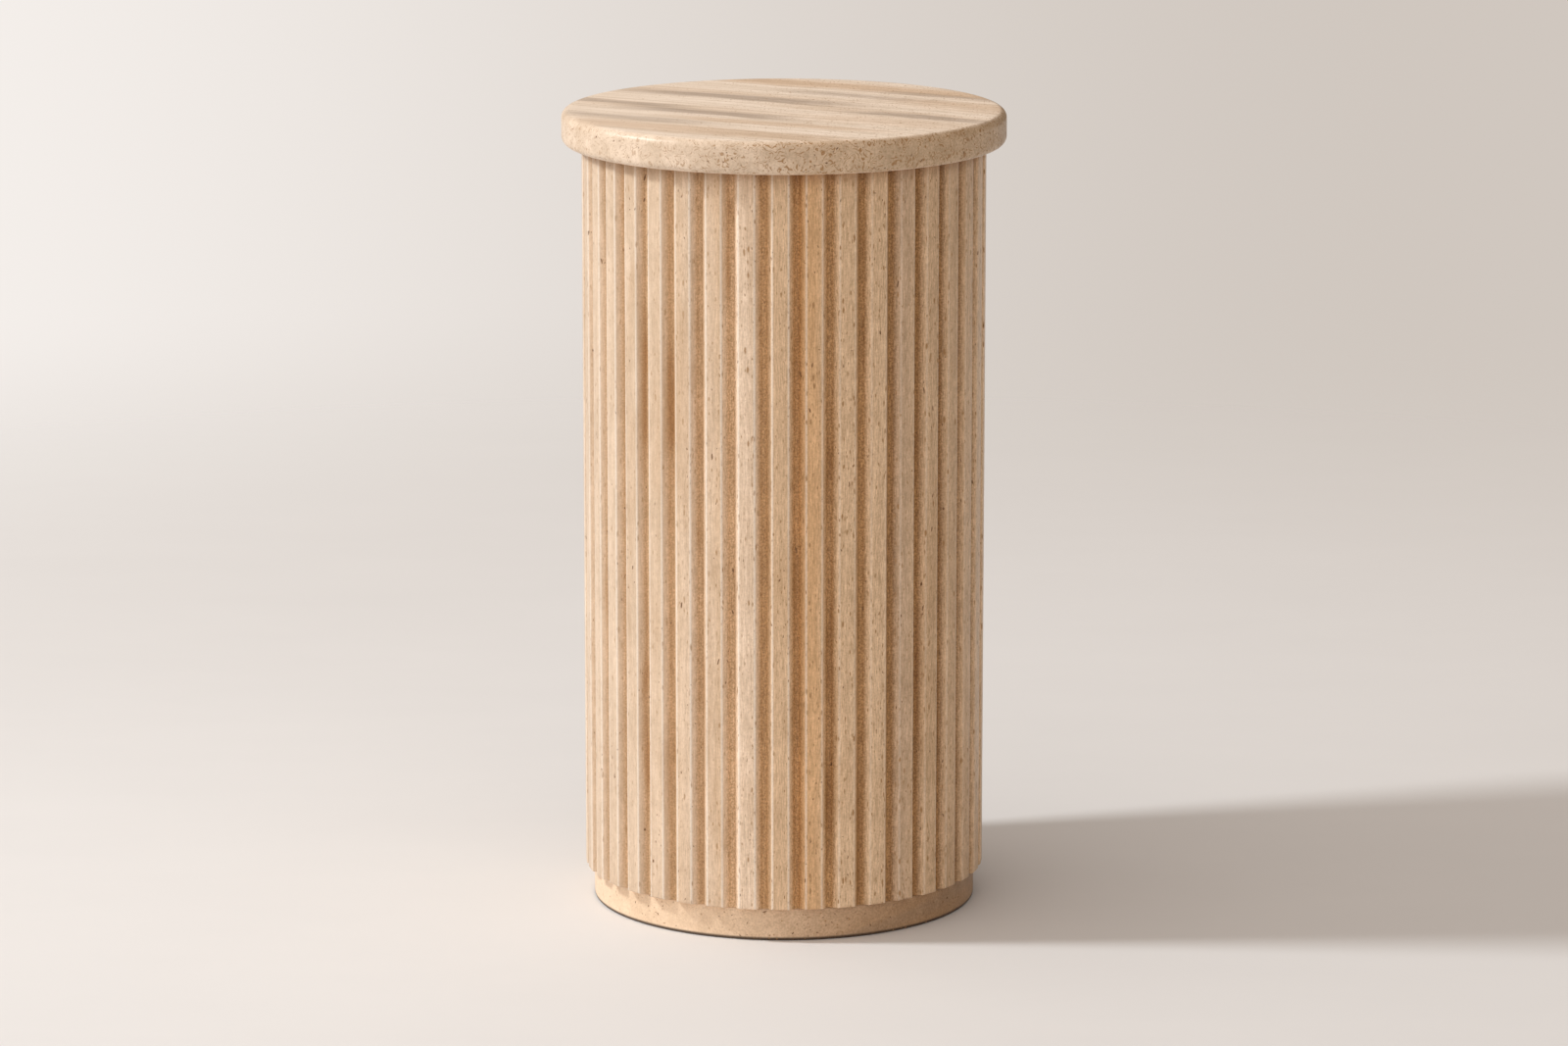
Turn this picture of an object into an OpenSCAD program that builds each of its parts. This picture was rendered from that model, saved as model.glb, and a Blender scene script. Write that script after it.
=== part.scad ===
// Fluted stone pedestal: a round top slab, a drum with straight ribs all round, and a plain
// round plinth set back under it. The three stones stand on each other by their own weight.

/* [Top slab] */
// Diameter of the top slab
slab_d = 400; // [380:1:440]
// Thickness of the top slab
slab_t = 30; // [20:1:40]
// Radius of the round edges, above and below
slab_edge_r = 7; // [3:0.5:9]

/* [Shaft] */
// Diameter of the shaft over the flat faces of its ribs
shaft_d = 364; // [340:1:370]
// Height of the shaft between the plinth and the slab
shaft_h = 665; // [400:5:900]
// Number of ribs round the shaft
rib_count = 38; // [32:1:44]
// Share of each rib's pitch that its flat face takes
land_share = 0.50; // [0.42:0.01:0.56]
// Depth of the grooves between the ribs
groove_depth = 7; // [5:0.5:9]
// Width of the flat floor of a groove
groove_floor_w = 3.4; // [2:0.1:4]
// Radius on the long outer edges of a rib
rib_edge_r = 1.8; // [0.5:0.1:2.5]
// Radius in the two corners of a groove's floor
groove_corner_r = 1.2; // [0.3:0.1:1.5]
// Bevel round the shaft's lower end
shaft_arris = 1.5; // [0.5:0.1:3]

/* [Plinth] */
// Diameter of the plinth
plinth_d = 348; // [320:1:350]
// Height of the plinth
plinth_h = 30; // [15:1:60]
// Radius of the plinth's edges
plinth_edge_r = 2; // [1:0.5:5]

/* [Hidden] */

shaft_r = shaft_d / 2;
rib_pitch_deg = 360 / rib_count;
land_half_deg = rib_pitch_deg * land_share / 2;
floor_r = shaft_r - groove_depth;
floor_half_deg = asin(groove_floor_w / 2 / floor_r);
slab_z = plinth_h + shaft_h;
round_steps = 4;
curve_fn = 180;
edge_fn = 48;

// The four sharp corners of one pitch, from the rib's first edge round to the next floor's end.
function polar(r, deg) = [r * cos(deg), r * sin(deg)];
function pitch_corners(middle) = [
    [polar(shaft_r, middle - land_half_deg), rib_edge_r],
    [polar(shaft_r, middle + land_half_deg), rib_edge_r],
    [polar(floor_r, middle + rib_pitch_deg / 2 - floor_half_deg), groove_corner_r],
    [polar(floor_r, middle + rib_pitch_deg / 2 + floor_half_deg), groove_corner_r]
];

// A corner between two straight sides, rounded to radius r by an arc that touches both.
function unit(v) = v / norm(v);
function rounded_corner(before, corner, after, r) =
    let (
        to_before = unit(before - corner),
        to_after = unit(after - corner),
        half_deg = acos(to_before * to_after) / 2,
        centre = corner + unit(to_before + to_after) * r / sin(half_deg),
        first = corner + to_before * r / tan(half_deg) - centre,
        last = corner + to_after * r / tan(half_deg) - centre,
        start_deg = atan2(first.y, first.x),
        turn = atan2(last.y, last.x) - start_deg,
        sweep = turn > 180 ? turn - 360 : turn < -180 ? turn + 360 : turn
    )
    [for (i = [0 : round_steps]) centre + polar(r, start_deg + sweep * i / round_steps)];

corners = [for (i = [0 : rib_count - 1]) each pitch_corners(-90 + i * rib_pitch_deg)];
corner_count = len(corners);
shaft_outline = [
    for (i = [0 : corner_count - 1]) each rounded_corner(
        corners[(i + corner_count - 1) % corner_count][0],
        corners[i][0],
        corners[(i + 1) % corner_count][0],
        corners[i][1])
];

// Half the section of a round slab that stands on z = 0, with its edges rounded to radius r.
module slab_section(radius, height, r) {
    square([radius - r, height]);
    translate([0, r])
        square([radius, height - 2 * r]);
    for (z = [r, height - r])
        translate([radius - r, z])
            circle(r, $fn = edge_fn);
}

module top_slab() {
    color("burlywood")
        translate([0, 0, slab_z])
            rotate_extrude($fn = curve_fn)
                slab_section(slab_d / 2, slab_t, slab_edge_r);
}

// The ribbed drum. A cone that opens upwards at 45 degrees bevels the ribs' lower ends.
module fluted_shaft() {
    foot_r = shaft_r - shaft_arris;
    color("tan")
        translate([0, 0, plinth_h])
            intersection() {
                linear_extrude(shaft_h)
                    polygon(shaft_outline);
                cylinder(h = shaft_h, r1 = foot_r, r2 = foot_r + shaft_h, $fn = curve_fn);
            }
}

module base_plinth() {
    color("burlywood")
        rotate_extrude($fn = curve_fn)
            slab_section(plinth_d / 2, plinth_h, plinth_edge_r);
}

base_plinth();
fluted_shaft();
top_slab();
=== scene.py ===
"""The looks of a fluted travertine pedestal: a turned top slab, a ribbed drum and a turned plinth.

Each stone is a class that holds its sizes, grows its mesh with Geometry Nodes and dresses it in
its own finish. Lengths are in metres, heights and the round stones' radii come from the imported
model's boxes, and the camera looks nearly along +Y with +X to the right.
"""

import logging
import math
from dataclasses import dataclass, field
from enum import Enum
from functools import reduce
from typing import Mapping, Optional, Sequence, Union

import bpy
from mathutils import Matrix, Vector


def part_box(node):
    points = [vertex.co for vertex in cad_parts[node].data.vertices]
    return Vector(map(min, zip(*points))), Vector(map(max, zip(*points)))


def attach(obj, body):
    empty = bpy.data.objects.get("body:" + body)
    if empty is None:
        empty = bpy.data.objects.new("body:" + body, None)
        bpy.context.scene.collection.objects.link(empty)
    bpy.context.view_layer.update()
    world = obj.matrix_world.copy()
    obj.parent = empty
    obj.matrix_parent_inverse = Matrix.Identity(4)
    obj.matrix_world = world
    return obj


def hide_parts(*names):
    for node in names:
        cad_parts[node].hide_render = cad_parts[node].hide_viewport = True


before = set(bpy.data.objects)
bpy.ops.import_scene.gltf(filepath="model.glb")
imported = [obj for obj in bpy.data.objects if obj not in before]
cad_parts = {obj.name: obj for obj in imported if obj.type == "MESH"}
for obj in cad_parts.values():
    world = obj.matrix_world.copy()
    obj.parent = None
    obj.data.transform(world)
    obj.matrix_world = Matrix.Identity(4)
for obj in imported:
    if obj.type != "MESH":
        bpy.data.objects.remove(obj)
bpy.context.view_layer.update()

log = logging.getLogger("pedestal")

MM = 0.001
HALF = (0.5, 0.5, 0.5)
BODY = "root"
PORE_ATTRIBUTE = "open_pore"

Socket = bpy.types.NodeSocket
Feed = Union[Socket, float, int, bool, str, Sequence[float], bpy.types.ID]
Sockets = Mapping[str, Socket]
Colour = tuple[float, float, float]
Triple = tuple[float, float, float]


class TreeKind(Enum):
    """The two kinds of node tree that the script builds."""

    GEOMETRY = "GeometryNodeTree"
    SHADER = "ShaderNodeTree"


class SocketKind(Enum):
    """The kinds of named socket that a group shows."""

    FLOAT = "NodeSocketFloat"
    INT = "NodeSocketInt"
    VECTOR = "NodeSocketVector"
    COLOUR = "NodeSocketColor"
    GEOMETRY = "NodeSocketGeometry"
    MATERIAL = "NodeSocketMaterial"


class Bedding(Enum):
    """Which way a stone's beds lie, as the turn of its pattern about X, Y and Z in degrees.

    After the turn the pattern's X runs along the beds and its Y runs through them.
    """

    SLANTED_IN_PLAN = (0.0, 0.0, 27.0)
    UPRIGHT = (90.0, 6.0, 90.0)
    LEVEL = (90.0, 4.0, 12.0)


class Graph:
    """A node tree as it is built, with one short call for each node that recurs."""

    def __init__(self, tree: bpy.types.NodeTree) -> None:
        """Wraps a tree.

        Args:
            tree: the tree that every call adds to.
        """
        self.tree = tree

    def feed(self, socket: Socket, value: Feed) -> None:
        """Links another socket to this one, or sets its plain value.

        Args:
            socket: the input to feed.
            value: an output socket, or a value of the input's own type.
        """
        if isinstance(value, Socket):
            self.tree.links.new(value, socket)
        elif socket.type == "RGBA":
            socket.default_value = (*value, 1.0)
        else:
            socket.default_value = value

    def node(self, kind: str, inputs: Optional[Mapping[Union[str, int], Feed]] = None,
             **settings: object) -> bpy.types.Node:
        """Adds a node.

        Args:
            kind: the node's type name.
            inputs: what feeds each input, by the input's name or place.
            settings: the node's own properties.

        Returns:
            The new node.
        """
        made = self.tree.nodes.new(kind)
        for key, value in settings.items():
            setattr(made, key, value)
        for key, value in (inputs or {}).items():
            self.feed(made.inputs[key], value)
        return made

    def math(self, operation: str, *values: Feed) -> Socket:
        """Returns the result of a Math node on the values."""
        return self.node("ShaderNodeMath", dict(enumerate(values)), operation=operation).outputs[0]

    def times(self, *values: Feed) -> Socket:
        """Returns the product of the numbers."""
        return reduce(lambda first, second: self.math("MULTIPLY", first, second), values)

    def plus(self, first: Feed, second: Feed) -> Socket:
        """Returns the sum of two numbers."""
        return self.math("ADD", first, second)

    def less(self, first: Feed, second: Feed) -> Socket:
        """Returns the first number less the second."""
        return self.math("SUBTRACT", first, second)

    def over(self, first: Feed, second: Feed) -> Socket:
        """Returns the first number divided by the second."""
        return self.math("DIVIDE", first, second)

    def off(self, value: Feed, middle: Feed) -> Socket:
        """Returns how far a number is from a middle one, either way."""
        return self.math("ABSOLUTE", self.less(value, middle))

    def swing(self, value: Feed, share: Feed) -> Socket:
        """Returns a shade about 1 that swings by the share as the value goes from 0 to 1."""
        return self.math("MULTIPLY_ADD", self.less(value, 0.5), share, 1.0)

    def vector(self, operation: str, *values: Feed) -> Socket:
        """Returns the vector result of a Vector Math node on the values."""
        made = self.node("ShaderNodeVectorMath", dict(enumerate(values)), operation=operation)
        return made.outputs["Vector"]

    def length(self, value: Feed) -> Socket:
        """Returns the length of a vector."""
        return self.node("ShaderNodeVectorMath", {0: value}, operation="LENGTH").outputs["Value"]

    def scaled(self, vector: Feed, factor: Feed) -> Socket:
        """Returns the vector times a number."""
        made = self.node("ShaderNodeVectorMath", {0: vector, "Scale": factor}, operation="SCALE")
        return made.outputs["Vector"]

    def join(self, x: Feed, y: Feed, z: Feed) -> Socket:
        """Returns the vector with these three parts."""
        return self.node("ShaderNodeCombineXYZ", {0: x, 1: y, 2: z}).outputs[0]

    def split(self, vector: Feed) -> Sequence[Socket]:
        """Returns the three parts of a vector."""
        return self.node("ShaderNodeSeparateXYZ", {0: vector}).outputs

    def from_axis(self, place: Feed) -> Socket:
        """Returns a place's distance from the pedestal's axis."""
        x, y, _ = self.split(place)
        return self.length(self.join(x, y, 0.0))

    def noise(self, vector: Feed, scale: Feed, detail: float = 2.0, rough: float = 0.5,
              warp: float = 0.0) -> Socket:
        """Adds a Noise Texture.

        Args:
            vector: where the noise is read.
            scale: features per unit of length.
            detail: how many finer octaves are added.
            rough: how strong the finer octaves are.
            warp: how much the noise distorts itself.

        Returns:
            The noise, which varies about a half.
        """
        inputs = {"Vector": vector, "Scale": scale, "Detail": detail, "Roughness": rough, "Distortion": warp}
        return self.node("ShaderNodeTexNoise", inputs).outputs[0]

    def jitter(self, vector: Feed, scale: Feed, detail: float) -> Socket:
        """Returns a noisy vector, each part of which varies about 0."""
        drift = self.node("ShaderNodeTexNoise", {"Vector": vector, "Scale": scale, "Detail": detail})
        return self.vector("SUBTRACT", drift.outputs["Color"], HALF)

    def ease(self, value: Feed, low: Feed, high: Feed, to_low: Feed = 0.0,
             to_high: Feed = 1.0) -> Socket:
        """Eases a value in a smooth step.

        Args:
            value: the value that the step reads.
            low: where the step begins.
            high: where it ends.
            to_low: the result at and before its beginning.
            to_high: the result at and after its end.

        Returns:
            The eased value.
        """
        inputs = {"Value": value, "From Min": low, "From Max": high, "To Min": to_low, "To Max": to_high}
        return self.node("ShaderNodeMapRange", inputs, interpolation_type="SMOOTHSTEP").outputs["Result"]

    def blend(self, factor: Feed, first: Feed, second: Feed, mode: str = "MIX") -> Socket:
        """Lays one colour over another.

        Args:
            factor: how far the second colour covers the first.
            first: the colour below.
            second: the colour above.
            mode: how the two mix.

        Returns:
            The mixed colour.
        """
        made = self.node("ShaderNodeMix", data_type="RGBA", blend_type=mode, clamp_result=False)
        self.feed(made.inputs[0], factor)
        self.feed(made.inputs[6], first)
        self.feed(made.inputs[7], second)
        return made.outputs[2]

    def group(self, tree: bpy.types.NodeTree, inputs: Mapping[str, Feed]) -> bpy.types.Node:
        """Places a group in the tree.

        Args:
            tree: the group's own tree.
            inputs: what feeds each named input.

        Returns:
            The group's node.
        """
        kind = "GeometryNodeGroup" if self.tree.bl_idname == TreeKind.GEOMETRY.value else "ShaderNodeGroup"
        made = self.node(kind, node_tree=tree)
        for name, value in inputs.items():
            self.feed(made.inputs[name], value)
        return made


@dataclass(frozen=True)
class Port:
    """A named input of a group: what it is called, its kind and the value it has if nothing feeds it."""

    name: str
    kind: SocketKind
    value: Optional[Feed] = None


def new_group(name: str, kind: TreeKind, ports: Sequence[Port],
              outputs: Sequence[tuple[str, SocketKind]]) -> tuple[Graph, bpy.types.Node, bpy.types.Node]:
    """Starts a node group with named inputs and outputs.

    Args:
        name: the group's name.
        kind: geometry or shader.
        ports: the named inputs.
        outputs: the named outputs and their kinds.

    Returns:
        The graph to build on, its input node and its output node.
    """
    tree = bpy.data.node_groups.new(name, kind.value)
    for port in ports:
        socket = tree.interface.new_socket(port.name, in_out="INPUT", socket_type=port.kind.value)
        if port.value is not None:
            socket.default_value = (*port.value, 1.0) if port.kind is SocketKind.COLOUR else port.value
    for label, socket_kind in outputs:
        tree.interface.new_socket(label, in_out="OUTPUT", socket_type=socket_kind.value)
    graph = Graph(tree)
    return graph, graph.node("NodeGroupInput"), graph.node("NodeGroupOutput")


# ---------------------------------------------------------------------------------------------
# Geometry: the groups that the stones share
# ---------------------------------------------------------------------------------------------


def pore_group() -> bpy.types.NodeTree:
    """Builds the group that cuts open pores into a closed mesh.

    Each pore is a ragged little pebble, set at a random place on the surface with its depth along
    the surface's normal and its length upright unless it leans, and taken out of the stone.

    Returns:
        The Geometry Nodes group.
    """
    ports = [
        Port("Mesh", SocketKind.GEOMETRY),
        Port("Crowding", SocketKind.FLOAT, 1.0),
        Port("Density", SocketKind.FLOAT, 1000.0),
        Port("Spacing", SocketKind.FLOAT, 0.004),
        Port("Smallest", SocketKind.VECTOR, (0.0005, 0.0004, 0.0006)),
        Port("Largest", SocketKind.VECTOR, (0.001, 0.0008, 0.003)),
        Port("Lean", SocketKind.FLOAT, 0.3),
        Port("Facets", SocketKind.INT, 1),
        Port("Seed", SocketKind.INT, 1),
    ]
    graph, given, result = new_group("Open Pores", TreeKind.GEOMETRY, ports, [("Mesh", SocketKind.GEOMETRY)])
    get = given.outputs
    spots = graph.node(
        "GeometryNodeDistributePointsOnFaces",
        {"Mesh": get["Mesh"], "Distance Min": get["Spacing"], "Density Max": get["Density"],
         "Density Factor": get["Crowding"], "Seed": get["Seed"]},
        distribute_method="POISSON",
    )
    facing = graph.node("FunctionNodeAlignRotationToVector", {"Vector": spots.outputs["Normal"]},
                        axis="X", pivot_axis="Z")
    lean = graph.node("FunctionNodeRandomValue", data_type="FLOAT")
    graph.feed(lean.inputs[2], graph.times(get["Lean"], -1.0))
    graph.feed(lean.inputs[3], get["Lean"])
    graph.feed(lean.inputs["Seed"], get["Seed"])
    tip = graph.node("FunctionNodeAxisAngleToRotation", {"Axis": (1.0, 0.0, 0.0), "Angle": lean.outputs[1]})
    turned = graph.node("FunctionNodeRotateRotation", {0: facing.outputs[0], 1: tip.outputs[0]},
                        rotation_space="LOCAL")
    size = graph.node("FunctionNodeRandomValue", data_type="FLOAT_VECTOR")
    graph.feed(size.inputs[0], get["Smallest"])
    graph.feed(size.inputs[1], get["Largest"])
    graph.feed(size.inputs["Seed"], graph.plus(get["Seed"], 7.0))
    pebble = graph.node("GeometryNodeMeshIcoSphere", {"Radius": 1.0, "Subdivisions": get["Facets"]})
    placed = graph.node(
        "GeometryNodeInstanceOnPoints",
        {"Points": spots.outputs["Points"], "Instance": pebble.outputs["Mesh"],
         "Rotation": turned.outputs[0], "Scale": size.outputs[0]},
    )
    loose = graph.node("GeometryNodeRealizeInstances", {0: placed.outputs[0]})
    place = graph.node("GeometryNodeInputPosition").outputs[0]
    dents_per_metre = 800.0
    dent_depth = 0.9 * MM
    ragged = graph.scaled(graph.jitter(place, dents_per_metre, 1.0), dent_depth)
    shaped = graph.node("GeometryNodeSetPosition", {"Geometry": loose.outputs[0], "Offset": ragged})
    marked = graph.node(
        "GeometryNodeStoreNamedAttribute",
        {"Geometry": shaped.outputs[0], "Name": PORE_ATTRIBUTE, "Value": 1.0},
        data_type="FLOAT", domain="POINT",
    )
    cut = graph.node("GeometryNodeMeshBoolean", {"Mesh 1": get["Mesh"], "Mesh 2": marked.outputs[0]},
                     operation="DIFFERENCE", solver="MANIFOLD")
    graph.feed(result.inputs["Mesh"], cut.outputs["Mesh"])
    return graph.tree


def hand_group() -> bpy.types.NodeTree:
    """Builds the group that gives a machined mesh the slight unevenness of honed stone.

    Points only ever move inwards, so the stone keeps inside its own size.

    Returns:
        The Geometry Nodes group.
    """
    ports = [
        Port("Mesh", SocketKind.GEOMETRY),
        Port("Depth", SocketKind.FLOAT, 0.0002),
        Port("Scale", SocketKind.FLOAT, 40.0),
    ]
    graph, given, result = new_group("Honed Unevenness", TreeKind.GEOMETRY, ports,
                                     [("Mesh", SocketKind.GEOMETRY)])
    get = given.outputs
    place = graph.node("GeometryNodeInputPosition").outputs[0]
    normal = graph.node("GeometryNodeInputNormal").outputs[0]
    x, y, _ = graph.split(normal)
    sideways = graph.join(x, y, 0.0)
    low = graph.noise(place, get["Scale"], rough=0.6)
    inwards = graph.times(low, get["Depth"], -1.0)
    moved = graph.node("GeometryNodeSetPosition",
                       {"Geometry": get["Mesh"], "Offset": graph.scaled(sideways, inwards)})
    graph.feed(result.inputs["Mesh"], moved.outputs[0])
    return graph.tree


def finishing_group() -> bpy.types.NodeTree:
    """Builds the group that shades soft bends smooth, keeps hard edges and sets the material.

    Returns:
        The Geometry Nodes group.
    """
    ports = [
        Port("Mesh", SocketKind.GEOMETRY),
        Port("Smooth Up To", SocketKind.FLOAT, math.radians(34.0)),
        Port("Material", SocketKind.MATERIAL),
    ]
    graph, given, result = new_group("Finished Stone", TreeKind.GEOMETRY, ports,
                                     [("Mesh", SocketKind.GEOMETRY)])
    get = given.outputs
    bend = graph.node("GeometryNodeInputMeshEdgeAngle").outputs["Unsigned Angle"]
    soft = graph.math("LESS_THAN", bend, get["Smooth Up To"])
    faces = graph.node("GeometryNodeSetShadeSmooth", {"Geometry": get["Mesh"], "Shade Smooth": True},
                       domain="FACE")
    edges = graph.node("GeometryNodeSetShadeSmooth", {"Geometry": faces.outputs[0], "Shade Smooth": soft},
                       domain="EDGE")
    whole = graph.node("GeometryNodeRealizeInstances", {0: edges.outputs[0]})
    dressed = graph.node("GeometryNodeSetMaterial",
                         {"Geometry": whole.outputs[0], "Material": get["Material"]})
    graph.feed(result.inputs["Mesh"], dressed.outputs[0])
    return graph.tree


class Workshop:
    """The shared groups, each built once."""

    def __init__(self) -> None:
        """Builds the geometry groups and the shader groups."""
        self.pores = pore_group()
        self.hand = hand_group()
        self.finishing = finishing_group()
        self.tone = tone_group()
        self.bedding = bedding_group()
        self.bed = bed_group()
        self.cloud = cloud_group()
        self.specks = speck_group()
        self.stipple = stipple_group()


@dataclass(frozen=True)
class Pores:
    """One family of open pores. Sizes are half-lengths: into the stone, across and along it."""

    density: float
    spacing: float
    smallest: Triple
    largest: Triple
    lean: float
    facets: int
    seed: int

    def cut(self, graph: Graph, tree: bpy.types.NodeTree, mesh: Feed, crowding: Feed) -> Socket:
        """Cuts this family out of a mesh.

        Args:
            graph: the stone's tree.
            tree: the pore group.
            mesh: the stone so far.
            crowding: a field from 0 to 1 that says where the pores are dense.

        Returns:
            The stone with its pores.
        """
        cutter = graph.group(tree, {
            "Mesh": mesh, "Crowding": crowding, "Density": self.density, "Spacing": self.spacing,
            "Smallest": self.smallest, "Largest": self.largest, "Lean": self.lean,
            "Facets": self.facets, "Seed": self.seed,
        })
        return cutter.outputs["Mesh"]


# ---------------------------------------------------------------------------------------------
# Finishes: the shader groups that the stones share
# ---------------------------------------------------------------------------------------------


def tone_group() -> bpy.types.NodeTree:
    """Builds the group that makes a stone colour lighter or darker, and warmer as it darkens.

    Returns:
        The shader group: Color is the shaded colour.
    """
    ports = [Port("Color", SocketKind.COLOUR, (0.7, 0.5, 0.4)), Port("Shade", SocketKind.FLOAT, 1.0)]
    graph, given, result = new_group("Stone Tone", TreeKind.SHADER, ports, [("Color", SocketKind.COLOUR)])
    shade = given.outputs["Shade"]
    tint = graph.join(shade, graph.math("POWER", shade, 1.15), graph.math("POWER", shade, 1.4))
    graph.feed(result.inputs["Color"], graph.vector("MULTIPLY", given.outputs["Color"], tint))
    return graph.tree


def bedding_group() -> bpy.types.NodeTree:
    """Builds the group that measures a stone's bedding, with the wander of real beds.

    Returns:
        The shader group: Along runs in the beds, Across is how far a point is through the beds with
        their wander and feathered edges, Streaks are the long pale and dark stripes in the beds and
        Lines the short thin ones.
    """
    ports = [
        Port("Vector", SocketKind.VECTOR),
        Port("Wander", SocketKind.FLOAT, 0.005),
        Port("Feather", SocketKind.FLOAT, 0.004),
        Port("Streak Width", SocketKind.FLOAT, 0.004),
        Port("Streak Length", SocketKind.FLOAT, 0.12),
    ]
    outputs = [(name, SocketKind.FLOAT) for name in ("Along", "Across", "Streaks", "Lines")]
    graph, given, result = new_group("Bedding", TreeKind.SHADER, ports, outputs)
    get = given.outputs
    along, across, third = graph.split(get["Vector"])
    waves_per_metre = 6.0
    streak_shape = (1.0, 1.0, 0.3)
    line_shape = (9.0, 3.6, 3.6)
    fray_shape = (1.7, 0.55, 0.25)
    slow = graph.less(graph.noise(get["Vector"], waves_per_metre, detail=1.0), 0.5)
    across = graph.math("MULTIPLY_ADD", slow, graph.times(get["Wander"], 2.0), across)
    per_width = graph.over(1.0, get["Streak Width"])
    stretch = graph.join(graph.over(1.0, get["Streak Length"]), per_width, per_width)
    drawn = graph.vector("MULTIPLY", graph.join(along, across, third), stretch)
    streaks = graph.noise(graph.vector("MULTIPLY", drawn, streak_shape), 1.0, warp=0.1)
    lines = graph.noise(graph.vector("MULTIPLY", drawn, line_shape), 1.0, detail=3.0, rough=0.6, warp=0.1)
    frayed = graph.noise(graph.vector("MULTIPLY", drawn, fray_shape), 1.0, detail=3.0, rough=0.65, warp=0.1)
    edge = graph.times(graph.less(frayed, 0.5), graph.times(get["Feather"], 2.0))
    graph.feed(result.inputs["Along"], along)
    graph.feed(result.inputs["Across"], graph.plus(across, edge))
    graph.feed(result.inputs["Streaks"], graph.ease(streaks, 0.3, 0.7))
    graph.feed(result.inputs["Lines"], graph.ease(lines, 0.28, 0.72))
    return graph.tree


def bed_group() -> bpy.types.NodeTree:
    """Builds the group that masks one bed: a soft stripe with a place and an extent both ways.

    Returns:
        The shader group: Mask is 1 in the bed's heart.
    """
    names = ("Along", "Across", "Middle Along", "Middle Across", "Half Length", "Half Width")
    ports = [Port(name, SocketKind.FLOAT, 0.1) for name in names]
    graph, given, result = new_group("One Bed", TreeKind.SHADER, ports, [("Mask", SocketKind.FLOAT)])
    get = given.outputs
    masks = []
    for way, half, solid in (("Across", "Half Width", 0.3), ("Along", "Half Length", 0.35)):
        off = graph.off(get[way], get["Middle " + way])
        masks.append(graph.ease(off, graph.times(get[half], solid), graph.times(get[half], 1.3), 1.0, 0.0))
    graph.feed(result.inputs["Mask"], graph.times(*masks))
    return graph.tree


def cloud_group() -> bpy.types.NodeTree:
    """Builds the group of cloudy figure that shows where beds are cut at a slant or lie flat.

    Returns:
        The shader group: Clouds are soft patches, Mottle is the finer swirl within them, and Curls
        is a mask of short curved hairlines.
    """
    ports = [
        Port("Vector", SocketKind.VECTOR),
        Port("Size", SocketKind.FLOAT, 0.012),
        Port("Curl Cover", SocketKind.FLOAT, 0.5),
    ]
    outputs = [(name, SocketKind.FLOAT) for name in ("Clouds", "Mottle", "Curls")]
    graph, given, result = new_group("Cloudy Figure", TreeKind.SHADER, ports, outputs)
    get = given.outputs
    near = graph.vector("DIVIDE", get["Vector"], graph.join(get["Size"], get["Size"], get["Size"]))
    bend_reach = 2.6
    contours = 9.0
    contour_offset = (3.7, 9.1, 5.3)
    gap_offset = (11.0, 2.0, 7.0)
    bend = graph.jitter(near, 0.7, 2.0)
    curled = graph.vector("ADD", near, graph.scaled(bend, bend_reach))
    clouds = graph.noise(curled, 0.45, warp=0.4)
    mottle = graph.noise(curled, 1.9, detail=3.0, rough=0.55, warp=0.5)
    contour = graph.noise(graph.vector("ADD", curled, contour_offset), 0.8, detail=1.0)
    wave = graph.math("FRACT", graph.times(contour, contours))
    line = graph.ease(graph.off(wave, 0.5), 0.03, 0.2, 1.0, 0.0)
    gaps = graph.noise(graph.vector("ADD", near, gap_offset), 2.2, rough=0.6)
    shown = graph.less(0.8, graph.times(get["Curl Cover"], 0.4))
    curls = graph.times(line, graph.ease(gaps, shown, graph.plus(shown, 0.08)))
    graph.feed(result.inputs["Clouds"], graph.ease(clouds, 0.34, 0.66))
    graph.feed(result.inputs["Mottle"], graph.ease(mottle, 0.3, 0.7))
    graph.feed(result.inputs["Curls"], curls)
    return graph.tree


def speck_group() -> bpy.types.NodeTree:
    """Builds the group of small filled pores: brown specks, drawn out into dashes if stretched.

    Returns:
        The shader group: Specks is a mask.
    """
    ports = [
        Port("Vector", SocketKind.VECTOR),
        Port("Size", SocketKind.FLOAT, 0.004),
        Port("Stretch", SocketKind.FLOAT, 2.0),
        Port("Cover", SocketKind.FLOAT, 0.5),
    ]
    graph, given, result = new_group("Filled Pores", TreeKind.SHADER, ports, [("Specks", SocketKind.FLOAT)])
    get = given.outputs
    wobbles_per_metre = 260.0
    wobble_reach = 1.2 * MM
    crowds_per_metre = 30.0
    smallest = 0.22
    size_spread = 0.24
    wobble = graph.jitter(get["Vector"], wobbles_per_metre, 2.0)
    loose = graph.vector("ADD", get["Vector"], graph.scaled(wobble, wobble_reach))
    tall = graph.over(1.0, graph.times(get["Size"], get["Stretch"]))
    wide = graph.over(1.0, get["Size"])
    cells = graph.node("ShaderNodeTexVoronoi",
                       {"Vector": graph.vector("MULTIPLY", loose, graph.join(wide, wide, tall)),
                        "Scale": 1.0, "Randomness": 1.0}, feature="F1")
    lottery, size, _ = graph.split(cells.outputs["Color"])
    crowd = graph.ease(graph.noise(get["Vector"], crowds_per_metre, rough=0.6), 0.36, 0.64, 0.25, 1.0)
    kept = graph.math("LESS_THAN", lottery, graph.times(get["Cover"], crowd))
    reach = graph.math("MULTIPLY_ADD", graph.math("POWER", size, 3.0), size_spread, smallest)
    drop = graph.ease(cells.outputs["Distance"], graph.times(reach, 0.35), reach, 1.0, 0.0)
    graph.feed(result.inputs["Specks"], graph.times(kept, drop))
    return graph.tree


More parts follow.
